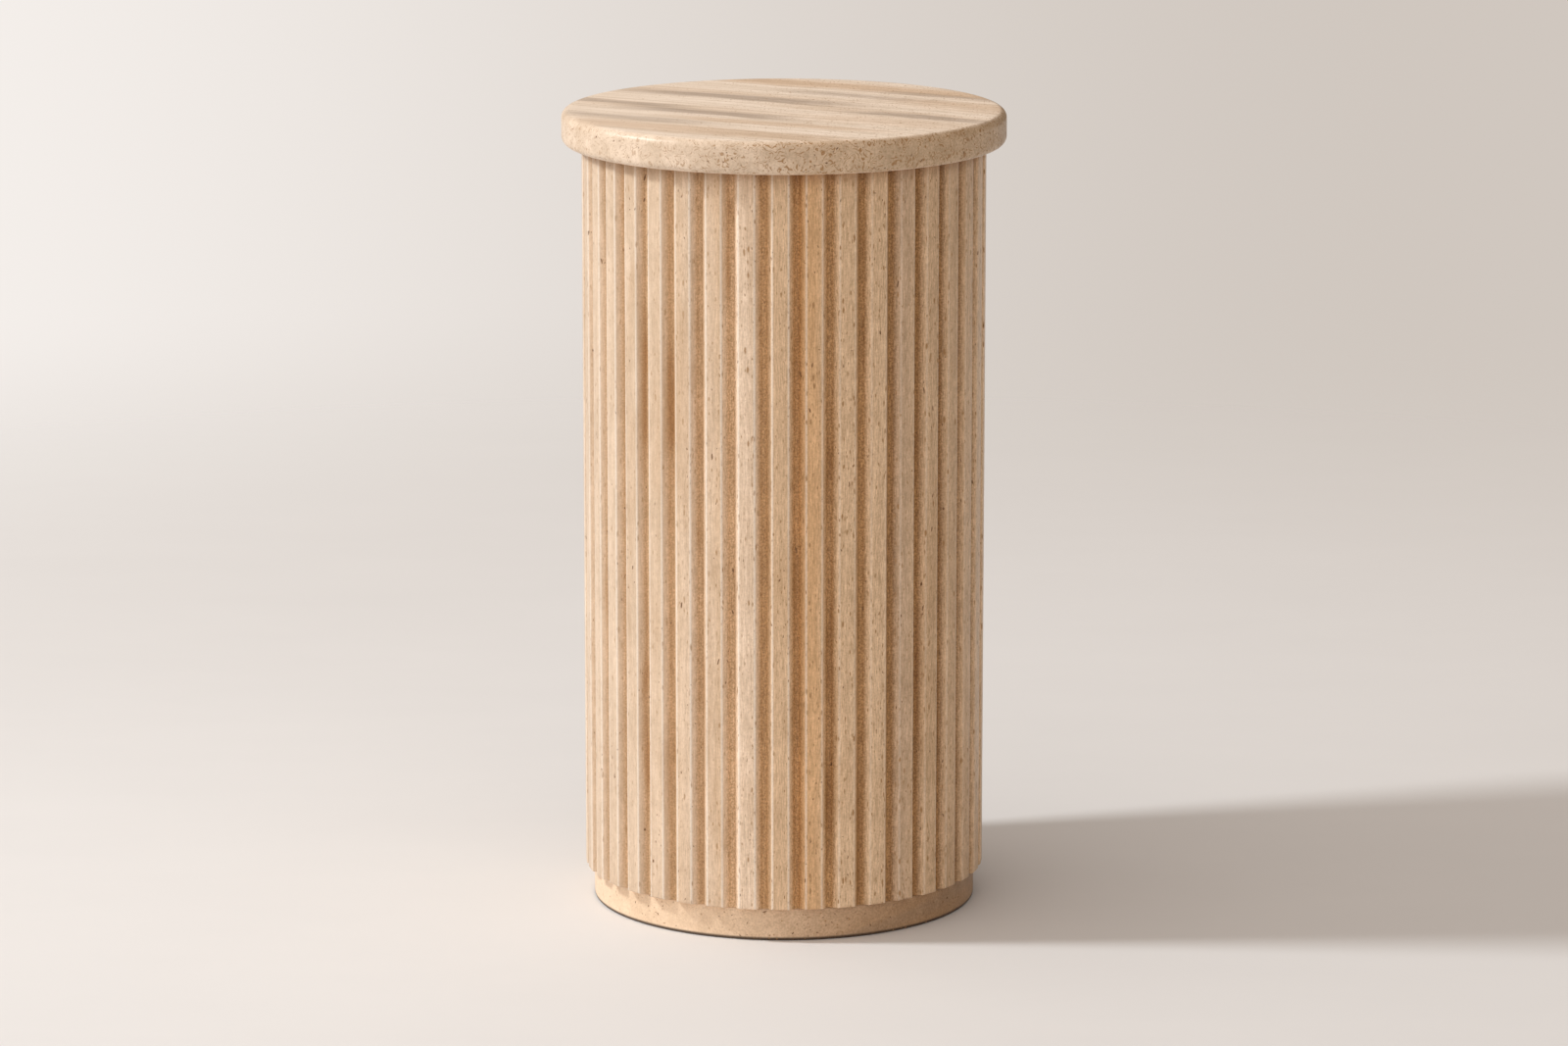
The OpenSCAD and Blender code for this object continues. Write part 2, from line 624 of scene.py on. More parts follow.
def stipple_group() -> bpy.types.NodeTree:
    """Builds the group of fine tooth that a stone keeps where no hone has reached it.

    Returns:
        The shader group: Stipple goes from 0 in the pits to 1 on the grains.
    """
    ports = [Port("Vector", SocketKind.VECTOR), Port("Size", SocketKind.FLOAT, 0.0018)]
    graph, given, result = new_group("Stipple", TreeKind.SHADER, ports, [("Stipple", SocketKind.FLOAT)])
    per_length = graph.over(1.0, given.outputs["Size"])
    tooth = graph.noise(given.outputs["Vector"], per_length, rough=0.6)
    graph.feed(result.inputs["Stipple"], graph.ease(tooth, 0.32, 0.68))
    return graph.tree


def empty_material(name: str) -> tuple[bpy.types.Material, Graph]:
    """Starts a material with an empty node tree.

    Args:
        name: the material's name.

    Returns:
        The material and the graph to build on.
    """
    material = bpy.data.materials.new(name)
    material.use_nodes = True
    material.node_tree.nodes.clear()
    return material, Graph(material.node_tree)


@dataclass
class Canvas:
    """One stone material as it is built, with the fields that several of its steps share."""

    material: bpy.types.Material
    graph: Graph
    shop: Workshop
    place: Socket
    cloud: Sockets
    busy: Socket

    def toned(self, colour: Feed, *shades: Feed) -> Socket:
        """Returns the colour made lighter or darker by the product of the shades."""
        shade = self.graph.times(*shades)
        return self.graph.group(self.shop.tone, {"Color": colour, "Shade": shade}).outputs[0]

    def specks(self, place: Feed, size: float, stretch: float, cover: float) -> Socket:
        """Returns a mask of small filled pores."""
        sizes = {"Vector": place, "Size": size, "Stretch": stretch, "Cover": cover}
        return self.graph.group(self.shop.specks, sizes).outputs[0]


@dataclass(frozen=True)
class Bed:
    """One bed of tone, placed from the axis, across the bedding and along it."""

    colour: Colour
    across: float
    half_width: float
    share: float = 1.0
    along: float = 0.0
    half_length: float = 3.0


@dataclass(frozen=True)
class StoneFinish:
    """Honed travertine. Colours are linear, and each stone gives its own values.

    Marks grow from calm at the left to busy at the right, and a side tint of painted shade darkens the right
    likewise.
    """

    name: str
    bedding: Bedding
    body: Colour
    beds: tuple[Bed, ...]
    vein: Colour = (0.40, 0.22, 0.09)
    pore: Colour = (0.25, 0.14, 0.07)
    pore_share: float = 0.65
    wander: float = 0.006
    feather: float = 0.005
    streak_width: float = 0.004
    streak_length: float = 0.12
    streak_share: float = 0.10
    line_share: float = 0.06
    cloud_size: float = 0.012
    cloud_share: float = 0.14
    cloud_over_beds: float = 0.7
    mottle_share: float = 0.12
    curl_cover: float = 0.5
    curl_share: float = 0.45
    curl_depth: float = 0.6
    speck_size: float = 0.003
    speck_stretch: float = 1.0
    speck_cover: float = 0.3
    speck_share: float = 0.6
    fine_size: float = 0.0016
    fine_cover: float = 0.6
    fine_share: float = 0.28
    fine_offset: Triple = (0.31, 0.17, 0.23)
    stipple_share: float = 0.09
    rough_stipple: float = 0.32
    roughness: float = 0.42
    dulling: float = 0.3
    rough_dulling: float = 0.8
    honed_relief: float = 0.06
    rough_relief: float = 0.5
    mark_relief: float = 0.6
    bump: float = 0.3
    bump_height: float = 0.4 * MM
    calm: float = 0.65
    busy: float = 1.6
    busy_span: tuple[float, float] = (-0.15, 0.08)
    # The side tint is painted shade, darker towards the right, away from the lamp.
    side_shade_span: tuple[float, float] = (-0.12, 0.14)
    side_shade_bend: float = 0.08
    side_shade_bends_per_metre: float = 14.0

    def start(self, shop: Workshop) -> Canvas:
        """Starts the material.

        Args:
            shop: the shared groups.

        Returns:
            The material and the fields that its steps share.
        """
        material, graph = empty_material(self.name)
        place = graph.node("ShaderNodeTexCoord").outputs["Object"]
        cloud = graph.group(shop.cloud, {"Vector": place, "Size": self.cloud_size,
                                         "Curl Cover": self.curl_cover}).outputs
        x, _, _ = graph.split(place)
        busy = graph.ease(x, *self.busy_span, self.calm, self.busy)
        return Canvas(material, graph, shop, place, cloud, busy)

    def side_shaded(self, canvas: Canvas, left: Feed, right: Feed) -> Socket:
        """Paints shade across the stone: changes a colour from the left one to the darker right one, along a
        line that bends a little.

        Args:
            canvas: the material as it is built.
            left: the colour at the left.
            right: the colour at the right, darker with painted shade.

        Returns:
            The colour in between.
        """
        graph = canvas.graph
        bend = graph.less(graph.noise(canvas.place, self.side_shade_bends_per_metre), 0.5)
        x, _, _ = graph.split(canvas.place)
        # Painted shade: the colour darkens from left to right, as if lit from the left.
        share = graph.ease(graph.math("MULTIPLY_ADD", bend, self.side_shade_bend, x), *self.side_shade_span)
        return graph.blend(share, left, right)

    def bedded(self, canvas: Canvas, clouded: Feed) -> Socket:
        """Lays the beds, streaks and clouds.

        Args:
            canvas: the material as it is built.
            clouded: how far the cloudy figure takes over, from 0 to 1.

        Returns:
            The colour of the stone before its marks.
        """
        graph = canvas.graph
        turn = tuple(math.radians(angle) for angle in self.bedding.value)
        turned = graph.node("ShaderNodeMapping", {"Vector": canvas.place, "Rotation": turn}).outputs[0]
        lie = graph.group(canvas.shop.bedding, {
            "Vector": turned, "Wander": self.wander, "Feather": self.feather,
            "Streak Width": self.streak_width, "Streak Length": self.streak_length}).outputs
        colour: Feed = self.body
        for bed in self.beds:
            mask = graph.group(canvas.shop.bed, {
                "Along": lie["Along"], "Across": lie["Across"], "Middle Along": bed.along,
                "Middle Across": bed.across, "Half Length": bed.half_length,
                "Half Width": bed.half_width}).outputs[0]
            colour = graph.blend(graph.times(mask, bed.share), colour, bed.colour)
        straight = graph.less(1.0, graph.times(clouded, self.cloud_over_beds))
        return canvas.toned(
            colour,
            graph.swing(lie["Streaks"], graph.times(straight, self.streak_share)),
            graph.swing(lie["Lines"], graph.times(straight, self.line_share, canvas.busy)),
            graph.swing(canvas.cloud["Clouds"], graph.times(clouded, self.cloud_share)),
            graph.swing(canvas.cloud["Mottle"], graph.times(clouded, self.mottle_share)))

    def close(self, canvas: Canvas, colour: Feed, clouded: Feed, rough: Feed,
              honed: Optional[Feed] = None) -> bpy.types.Material:
        """Adds the small marks, darkens the open pores and feeds the shader.

        Args:
            canvas: the material as it is built.
            colour: the stone's colour so far.
            clouded: where the curled hairlines show, from 0 to 1.
            rough: how much tooth the surface has kept, from 0, honed, to 1.
            honed: the roughness of the honed stone, if it isn't the same all over.

        Returns:
            The finished material.
        """
        graph = canvas.graph
        curls = graph.times(canvas.cloud["Curls"], clouded)
        specks = canvas.specks(canvas.place, self.speck_size, self.speck_stretch, self.speck_cover)
        fine = canvas.specks(graph.vector("ADD", canvas.place, self.fine_offset), self.fine_size,
                             self.speck_stretch, self.fine_cover)
        tooth = graph.group(canvas.shop.stipple, {"Vector": canvas.place}).outputs[0]
        colour = graph.blend(graph.times(fine, self.fine_share, canvas.busy), colour, self.vein)
        stipple = graph.math("MULTIPLY_ADD", rough, self.rough_stipple, self.stipple_share)
        colour = canvas.toned(colour, graph.swing(tooth, graph.times(stipple, canvas.busy)))
        for mask, share in ((curls, self.curl_share), (specks, self.speck_share)):
            colour = graph.blend(graph.times(mask, share, canvas.busy), colour, self.vein)
        inside = graph.node("ShaderNodeAttribute", attribute_name=PORE_ATTRIBUTE).outputs["Fac"]
        colour = graph.blend(graph.times(inside, self.pore_share), colour, self.pore)
        marks = graph.math("MAXIMUM", graph.times(curls, self.curl_depth), specks)
        sawn = graph.times(rough, self.rough_dulling)
        dull = graph.math("MAXIMUM", graph.math("MAXIMUM", marks, inside), sawn)
        roughness = graph.math("MULTIPLY_ADD", dull, self.dulling, self.roughness if honed is None else honed)
        relief = graph.times(tooth, graph.math("MULTIPLY_ADD", rough, self.rough_relief, self.honed_relief))
        height = graph.less(relief, graph.times(marks, self.mark_relief))
        bump = graph.node("ShaderNodeBump",
                          {"Height": height, "Strength": self.bump, "Distance": self.bump_height})
        shader = graph.node("ShaderNodeBsdfPrincipled",
                            {"Base Color": colour, "Roughness": roughness, "Normal": bump.outputs[0]})
        graph.feed(graph.node("ShaderNodeOutputMaterial").inputs["Surface"], shader.outputs[0])
        return canvas.material

    def material(self, shop: Workshop, stone: "Stone") -> bpy.types.Material:
        """Builds the material. Each kind of finish says how its figure changes over the stone.

        Args:
            shop: the shared groups.
            stone: the stone that wears it.

        Returns:
            The finished material.
        """
        raise NotImplementedError


@dataclass(frozen=True)
class SlabFinish(StoneFinish):
    """Long bands across the top, and a cloudy figure round the rim, which is more worn and polished and
    darkens towards the right with painted shade.
    """

    rim_left: Colour = (0.79, 0.635, 0.49)
    rim_shaded_right: Colour = (0.53, 0.36, 0.205)
    rim_share: float = 0.85
    rim_tooth: float = 0.15
    rim_roughness: float = 0.36
    rim_full: float = 0.8
    rim_polished: float = 0.5

    def material(self, shop: Workshop, stone: "TurnedStone") -> bpy.types.Material:
        """Builds the slab's material.

        Args:
            shop: the shared groups.
            stone: the slab.

        Returns:
            The finished material.
        """
        canvas = self.start(shop)
        graph = canvas.graph
        out = graph.from_axis(canvas.place)
        start = stone.radius - stone.edge_round
        rim = graph.ease(out, start, start + stone.edge_round * self.rim_full)
        # The rim's colour carries painted shade: it darkens from the left to the right, away from the lamp.
        painted_side_light = canvas.toned(self.side_shaded(canvas, self.rim_left, self.rim_shaded_right),
                            graph.swing(canvas.cloud["Clouds"], self.cloud_share),
                            graph.swing(canvas.cloud["Mottle"], self.mottle_share))
        colour = graph.blend(graph.times(rim, self.rim_share), self.bedded(canvas, rim), painted_side_light)
        honed = graph.ease(out, start, start + stone.edge_round * self.rim_polished,
                           self.roughness, self.rim_roughness)
        return self.close(canvas, colour, rim, graph.times(rim, self.rim_tooth), honed)


@dataclass(frozen=True)
class ShaftFinish(StoneFinish):
    """Upright beds and dashes, with a warm stain and more tooth in the grooves. The grooves' stain is partly
    painted shade, and the ribs' edges and the drum's top carry a painted highlight and painted shade.
    """

    # Groove colours: a warm stain together with painted shade in the recesses, darker at the right.
    groove_stain_shade_left: Colour = (0.84, 0.73, 0.58)
    groove_stain_shade_right: Colour = (0.56, 0.42, 0.24)
    rust: Colour = (0.50, 0.29, 0.125)
    rust_per_metre: Triple = (34.0, 34.0, 5.0)
    rust_span: tuple[float, float] = (0.52, 0.70)
    rust_on_land: float = 0.25
    rust_in_groove: float = 0.55
    # Painted shade under the slab's overhang, at the top of the drum.
    under_slab_shade: Colour = (0.54, 0.44, 0.35)
    under_slab_shade_share: float = 0.85
    under_slab_shade_height: float = 0.016
    # Painted highlight on the ribs' edges, strongest at the left, towards the lamp.
    edge_highlight_colour: Colour = (1.0, 0.93, 0.84)
    edge_highlight_left: float = 0.55
    edge_highlight_right: float = 0.165
    edge_highlight_span: tuple[float, float] = (-0.02, 0.08)
    edge_inset: float = 0.01
    edge_fade: tuple[float, float] = (0.008, 0.05)
    land_skin: float = 1.2 * MM
    clouded: float = 0.35
    curled: float = 0.5

    def edge(self, graph: Graph, stone: "FlutedShaft", x: Feed, y: Feed) -> Socket:
        """Masks the long edges of the ribs' faces, where a highlight is painted.

        Args:
            graph: the material's tree.
            stone: the drum.
            x: the X coordinate.
            y: the Y coordinate.

        Returns:
            The mask, 1 along the edges.
        """
        turns = graph.times(graph.math("ARCTAN2", y, x), stone.ribs / math.tau)
        phase = graph.math("FRACT", graph.plus(turns, stone.ribs / 4 + 0.5))
        beside = graph.off(graph.off(phase, 0.5), stone.land_share / 2 - self.edge_inset)
        return graph.ease(beside, *self.edge_fade, 1.0, 0.0)

    def material(self, shop: Workshop, stone: "FlutedShaft") -> bpy.types.Material:
        """Builds the shaft's material.

        Args:
            shop: the shared groups.
            stone: the shaft.

        Returns:
            The finished material.
        """
        canvas = self.start(shop)
        graph = canvas.graph
        x, y, z = graph.split(canvas.place)
        groove = graph.ease(graph.from_axis(canvas.place), stone.radius - stone.groove_depth,
                            stone.radius - self.land_skin, 1.0, 0.0)
        # Painted highlight: the ribs' edges are paled, most at the left, where the lamp shines.
        painted_side_light = graph.ease(x, *self.edge_highlight_span, self.edge_highlight_left, self.edge_highlight_right)
        colour = graph.blend(graph.times(self.edge(graph, stone, x, y), painted_side_light),
                             self.bedded(canvas, self.clouded), self.edge_highlight_colour)
        drawn = graph.vector("MULTIPLY", canvas.place, self.rust_per_metre)
        patches = graph.noise(drawn, 1.0, detail=3.0, rough=0.6)
        reach = graph.math("MULTIPLY_ADD", groove, self.rust_in_groove, self.rust_on_land)
        rusty = graph.times(graph.ease(patches, *self.rust_span), reach)
        colour = graph.blend(rusty, colour, self.rust)
        # The groove stain is partly a warm stain and partly painted shade in the recesses, darkening further
        # towards the right.
        groove_stain_and_shade = self.side_shaded(canvas, self.groove_stain_shade_left, self.groove_stain_shade_right)
        colour = graph.blend(groove, colour, groove_stain_and_shade, "MULTIPLY")
        # Painted shade: the top of the drum darkens under the slab.
        shade_under_slab = graph.ease(z, stone.top - self.under_slab_shade_height, stone.top, 0.0, self.under_slab_shade_share)
        colour = graph.blend(shade_under_slab, colour, self.under_slab_shade, "MULTIPLY")
        return self.close(canvas, colour, self.curled, groove)


@dataclass(frozen=True)
class PlinthFinish(StoneFinish):
    """A cloudy figure all over, painted shade that darkens the right side, and a painted contact shadow, a
    thin dark line round the foot.
    """

    # The side tints are painted light and shade: lit at the left, shaded at the right.
    left_side_light: Colour = (0.96, 0.985, 1.06)
    right_side_shade: Colour = (0.50, 0.41, 0.33)
    # Painted contact shadow: a near-black line round the foot, where the plinth meets the floor.
    foot_shadow_colour: Colour = (0.06, 0.035, 0.02)
    foot_shadow_height: float = 0.0038
    foot_shadow_share: float = 0.95
    tooth: float = 0.2

    def material(self, shop: Workshop, stone: "TurnedStone") -> bpy.types.Material:
        """Builds the plinth's material.

        Args:
            shop: the shared groups.
            stone: the plinth.

        Returns:
            The finished material.
        """
        canvas = self.start(shop)
        graph = canvas.graph
        _, _, z = graph.split(canvas.place)
        # Painted shade: the plinth darkens towards the right.
        side = self.side_shaded(canvas, self.left_side_light, self.right_side_shade)
        colour = graph.vector("MULTIPLY", self.bedded(canvas, 1.0), side)
        # Painted contact shadow round the foot.
        foot_shadow_ring = graph.ease(graph.from_axis(canvas.place), stone.radius - 2.0 * self.foot_shadow_height,
                           stone.radius - self.foot_shadow_height)
        low = graph.ease(z, self.foot_shadow_height * 0.5, self.foot_shadow_height, self.foot_shadow_share, 0.0)
        colour = graph.blend(graph.times(foot_shadow_ring, low), colour, self.foot_shadow_colour)
        return self.close(canvas, colour, 1.0, self.tooth)


# ---------------------------------------------------------------------------------------------
# The stones
# ---------------------------------------------------------------------------------------------


@dataclass
class Stone:
    """One stone of the pedestal, between two heights of the frame."""

    node: str
    slot: str
    finish: StoneFinish
    pores: tuple[Pores, ...]
    unevenness: float = 0.04 * MM
    side_span: tuple[float, float] = (0.35, 0.85)
    bottom: float = field(init=False)
    top: float = field(init=False)
    half_width: float = field(init=False)

    def __post_init__(self) -> None:
        """Reads the stone's height range and half width from the frame."""
        low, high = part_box(self.node)
        self.bottom = low.z
        self.top = high.z
        self.half_width = high.x

    def shape(self, graph: Graph, get: Sockets) -> Socket:
        """Adds the nodes that make the stone's closed mesh, and returns the mesh."""
        raise NotImplementedError

    def ports(self) -> list[Port]:
        """Returns the named sizes that the stone's tree takes, with this stone's values."""
        raise NotImplementedError

    def crowding(self, graph: Graph) -> Socket:
        """Returns the field that says where pores are dense."""
        raise NotImplementedError

    def up_and_side(self, graph: Graph) -> tuple[Socket, Socket]:
        """Returns how far the surface faces up, and a mask of its upright parts."""
        up = graph.split(graph.node("GeometryNodeInputNormal").outputs[0])[2]
        return up, graph.ease(graph.math("ABSOLUTE", up), *self.side_span, 1.0, 0.0)

    def tree(self, shop: Workshop) -> bpy.types.NodeTree:
        """Builds the stone's whole Geometry Nodes tree.

        Args:
            shop: the shared groups.

        Returns:
            The tree, which ends in Realize Instances and Set Material.
        """
        ports = [Port("Geometry", SocketKind.GEOMETRY), *self.ports(), Port("Material", SocketKind.MATERIAL)]
        graph, given, result = new_group(self.node.replace("_", " "), TreeKind.GEOMETRY, ports,
                                         [("Geometry", SocketKind.GEOMETRY)])
        mesh = self.shape(graph, given.outputs)
        mesh = graph.group(shop.hand, {"Mesh": mesh, "Depth": self.unevenness}).outputs[0]
        crowding = self.crowding(graph)
        for family in self.pores:
            mesh = family.cut(graph, shop.pores, mesh, crowding)
        ended = graph.group(shop.finishing, {"Mesh": mesh, "Material": given.outputs["Material"]})
        graph.feed(result.inputs["Geometry"], ended.outputs[0])
        return graph.tree

    def build(self, shop: Workshop) -> bpy.types.Object:
        """Grows the mesh, dresses it and puts it in the frame.

        Args:
            shop: the shared groups.

        Returns:
            The finished piece, a plain mesh that replaces its node.
        """
        piece = bpy.data.objects.new(self.node + "_stone", bpy.data.meshes.new(self.node))
        bpy.context.scene.collection.objects.link(piece)
        tree = self.tree(shop)
        modifier = piece.modifiers.new("stone", "NODES")
        modifier.node_group = tree
        values = {port.name: port.value for port in self.ports()}
        values["Material"] = self.finish.material(shop, self)
        for item in tree.interface.items_tree:
            if item.in_out == "INPUT" and item.name in values:
                modifier[item.identifier] = values[item.name]
        grown = bpy.data.meshes.new_from_object(piece.evaluated_get(bpy.context.evaluated_depsgraph_get()))
        piece.modifiers.remove(modifier)
        piece.data = grown
        grown.name = self.node + "_mesh"
        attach(piece, BODY)
        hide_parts(self.node)
        grown.calc_loop_triangles()
        log.info("%s: %d triangles", piece.name, len(grown.loop_triangles))
        return piece


@dataclass
class TurnedStone(Stone):
    """A round stone turned about the pedestal's axis from half a section with rounded edges.

    Pores crowd in patches round its edge. On its top they are as rare as top_pores says.
    """

    edge_round: float = 2.0 * MM
    top_pores: float = 0.0
    top_span: tuple[float, float] = (0.85, 0.98)
    patches_per_metre: float = 32.0
    patch_span: tuple[float, float] = (0.4, 0.62)
    between_patches: float = 0.2
    segments: int = 288
    arc_steps: int = 6
    edge_cuts: int = 2
    face_cuts: int = 13
    spindle: float = 1.0 * MM
    near_enough: float = 0.01 * MM

    @property
    def radius(self) -> float:
        """Returns the stone's radius, which is half its width."""
        return self.half_width

    def ports(self) -> list[Port]:
        """Returns the turned stone's sizes."""
        return [
            Port("Radius", SocketKind.FLOAT, self.radius),
            Port("Bottom", SocketKind.FLOAT, self.bottom),
            Port("Top", SocketKind.FLOAT, self.top),
            Port("Edge Round", SocketKind.FLOAT, self.edge_round),
            Port("Segments", SocketKind.INT, self.segments),
        ]

    def shape(self, graph: Graph, get: Sockets) -> Socket:
        """Adds the nodes that turn the section round the axis.

        Args:
            graph: the stone's tree.
            get: the tree's named inputs.

        Returns:
            The closed mesh.
        """
        rim = graph.less(get["Radius"], self.spindle)
        low = graph.times(get["Bottom"], -1.0)
        high = graph.times(get["Top"], -1.0)
        corners = [graph.join(x, y, 0.0) for x, y in (
            (-self.spindle, high), (rim, high), (rim, low), (-self.spindle, low))]
        section = graph.node("GeometryNodeCurvePrimitiveQuadrilateral", mode="POINTS")
        for place, corner in enumerate(corners, start=1):
            graph.feed(section.inputs[f"Point {place}"], corner)
        opened = graph.node("GeometryNodeSetSplineCyclic", {"Geometry": section.outputs[0], "Cyclic": False})
        index = graph.node("GeometryNodeInputIndex").outputs[0]
        upright = graph.math("COMPARE", index, 1.0, 0.5)
        cuts = graph.less(self.face_cuts, graph.times(upright, self.face_cuts - self.edge_cuts))
        divided = graph.node("GeometryNodeSubdivideCurve", {"Curve": opened.outputs[0], "Cuts": cuts})
        place = graph.node("GeometryNodeInputPosition").outputs[0]
        x, y, _ = graph.split(place)
        on_rim = graph.math("COMPARE", x, rim, self.near_enough)
        on_face = graph.math("MAXIMUM", graph.math("COMPARE", y, low, self.near_enough),
                             graph.math("COMPARE", y, high, self.near_enough))
        fillet = graph.times(on_rim, on_face, get["Edge Round"])
        rounded = graph.node(
            "GeometryNodeFilletCurve",
            {"Curve": divided.outputs[0], "Radius": fillet, "Count": self.arc_steps}, mode="POLY")
        axis = graph.node("GeometryNodeCurvePrimitiveCircle",
                          {"Resolution": get["Segments"], "Radius": self.spindle})
        turned = graph.node("GeometryNodeCurveToMesh",
                            {"Curve": axis.outputs["Curve"], "Profile Curve": rounded.outputs[0]})
        closed = graph.node("GeometryNodeMergeByDistance",
                            {"Geometry": turned.outputs[0], "Distance": self.near_enough})
        return closed.outputs[0]

    def crowding(self, graph: Graph) -> Socket:
        """Crowds the pores in patches round the edge and keeps them rare on top.

        Args:
            graph: the stone's tree.

        Returns:
            The field from 0 to 1.
        """
        up, side = self.up_and_side(graph)
        above = graph.ease(up, *self.top_span, 0.0, self.top_pores)
        place = graph.node("GeometryNodeInputPosition").outputs[0]
        patches = graph.ease(graph.noise(place, self.patches_per_metre), *self.patch_span,
                             self.between_patches, 1.0)
        return graph.times(patches, graph.math("MAXIMUM", side, above))


@dataclass
class TopSlab(TurnedStone):
    """The round slab that overhangs the shaft."""

    edge_round: float = 7.0 * MM
    top_pores: float = 0.07


@dataclass
class BasePlinth(TurnedStone):
    """The plain round stone under the shaft, set back from its ribs."""


@dataclass
class FlutedShaft(Stone):
    """The drum with flat-faced ribs all round, one of them facing the front.

    The radius is that of the circle through the ribs' sharp corners.
    """

    radius: float = 182.0 * MM
    ribs: int = 38
    groove_depth: float = 7.0 * MM
    groove_floor: float = 3.4 * MM
    land_share: float = 0.5
    edge_round: float = 1.8 * MM
    corner_round: float = 1.2 * MM
    foot_round: float = 2.0 * MM
    rings: int = 76
    foot_rings: int = 4
    arc_steps: int = 3
    patches_per_metre: Triple = (30.0, 30.0, 10.5)
    patch_span: tuple[float, float] = (0.45, 0.66)
    between_patches: float = 0.14
    least_radius: float = 1e-6

    def ports(self) -> list[Port]:
        """Returns the drum's sizes."""
        return [
            Port("Ribs", SocketKind.INT, self.ribs),
            Port("Radius", SocketKind.FLOAT, self.radius),
            Port("Groove Depth", SocketKind.FLOAT, self.groove_depth),
            Port("Groove Floor", SocketKind.FLOAT, self.groove_floor),
            Port("Land Share", SocketKind.FLOAT, self.land_share),
            Port("Edge Round", SocketKind.FLOAT, self.edge_round),
            Port("Corner Round", SocketKind.FLOAT, self.corner_round),
            Port("Bottom", SocketKind.FLOAT, self.bottom),
            Port("Top", SocketKind.FLOAT, self.top),
            Port("Foot Round", SocketKind.FLOAT, self.foot_round),
        ]

    @staticmethod
    def by_corner(graph: Graph, corner: Feed, values: Sequence[Feed]) -> Socket:
        """Picks a value by a corner's place in its pitch.

        Args:
            graph: the drum's tree.
            corner: the corner's place, 0 to 3.
            values: one value for each of the four places.

        Returns:
            The value for that corner.
        """
        picked = None
        for place, value in enumerate(values):
            here = graph.math("COMPARE", corner, float(place), 0.25)
            share = graph.times(here, value)
            picked = share if picked is None else graph.plus(picked, share)
        return picked

    def section(self, graph: Graph, get: Sockets) -> Socket:
        """Adds the nodes that draw the drum's outline, four rounded corners to each pitch.

        Args:
            graph: the drum's tree.
            get: the tree's named inputs.

        Returns:
            The closed outline, a curve in the level plane.
        """
        corners = graph.times(get["Ribs"], 4.0)
        ring = graph.node("GeometryNodeCurvePrimitiveCircle",
                          {"Resolution": corners, "Radius": get["Radius"]})
        index = graph.node("GeometryNodeInputIndex").outputs[0]
        corner = graph.math("MODULO", index, 4.0)
        rib = graph.math("FLOOR", graph.over(index, 4.0))
        pitch = graph.over(math.tau, get["Ribs"])
        half_land = graph.times(pitch, get["Land Share"], 0.5)
        floor_radius = graph.less(get["Radius"], get["Groove Depth"])
        half_floor = graph.math("ARCSINE", graph.over(graph.times(get["Groove Floor"], 0.5), floor_radius))
        half_pitch = graph.times(pitch, 0.5)
        turn = self.by_corner(graph, corner, (
            graph.times(half_land, -1.0), half_land,
            graph.less(half_pitch, half_floor), graph.plus(half_pitch, half_floor)))
        angle = graph.less(graph.math("MULTIPLY_ADD", rib, pitch, turn), math.pi / 2)
        reach = self.by_corner(graph, corner, (get["Radius"], get["Radius"], floor_radius, floor_radius))
        place = graph.join(graph.times(reach, graph.math("COSINE", angle)),
                           graph.times(reach, graph.math("SINE", angle)), 0.0)
        sharp = graph.node("GeometryNodeSetPosition", {"Geometry": ring.outputs["Curve"], "Position": place})
        rounding = self.by_corner(graph, corner, (
            get["Edge Round"], get["Edge Round"], get["Corner Round"], get["Corner Round"]))
        return graph.node("GeometryNodeFilletCurve",
                          {"Curve": sharp.outputs[0], "Radius": rounding, "Count": self.arc_steps},
                          mode="POLY").outputs[0]

    def ring_height(self, graph: Graph, get: Sockets) -> Socket:
        """Spaces the drum's rings: close together in the rounded foot and even above it.

        Args:
            graph: the drum's tree.
            get: the tree's named inputs.

        Returns:
            The height of each ring.
        """
        index = graph.node("GeometryNodeInputIndex").outputs[0]
        foot = get["Foot Round"]
        low = graph.times(foot, graph.math("POWER", graph.over(index, self.foot_rings), 2.0))
        rise = graph.less(graph.less(get["Top"], get["Bottom"]), foot)
        share = graph.over(graph.less(index, self.foot_rings), self.rings - 1 - self.foot_rings)
        high = graph.math("MULTIPLY_ADD", share, rise, foot)
        above = graph.math("GREATER_THAN", index, self.foot_rings)
        over_bottom = graph.plus(graph.times(above, high), graph.times(graph.less(1.0, above), low))
        return graph.plus(get["Bottom"], over_bottom)

    def foot_limit(self, graph: Graph, get: Sockets, z: Feed) -> Socket:
        """Works out how far the ribs may reach at a height, which rounds their lower ends.

        Args:
            graph: the drum's tree.
            get: the tree's named inputs.
            z: the height.

        Returns:
            The greatest distance from the axis.
        """
        foot = get["Foot Round"]
        missing = graph.math("MAXIMUM", graph.less(foot, graph.less(z, get["Bottom"])), 0.0)
        squared = graph.less(graph.math("POWER", foot, 2.0), graph.math("POWER", missing, 2.0))
        return graph.plus(graph.less(get["Radius"], foot),
                          graph.math("SQRT", graph.math("MAXIMUM", squared, 0.0)))

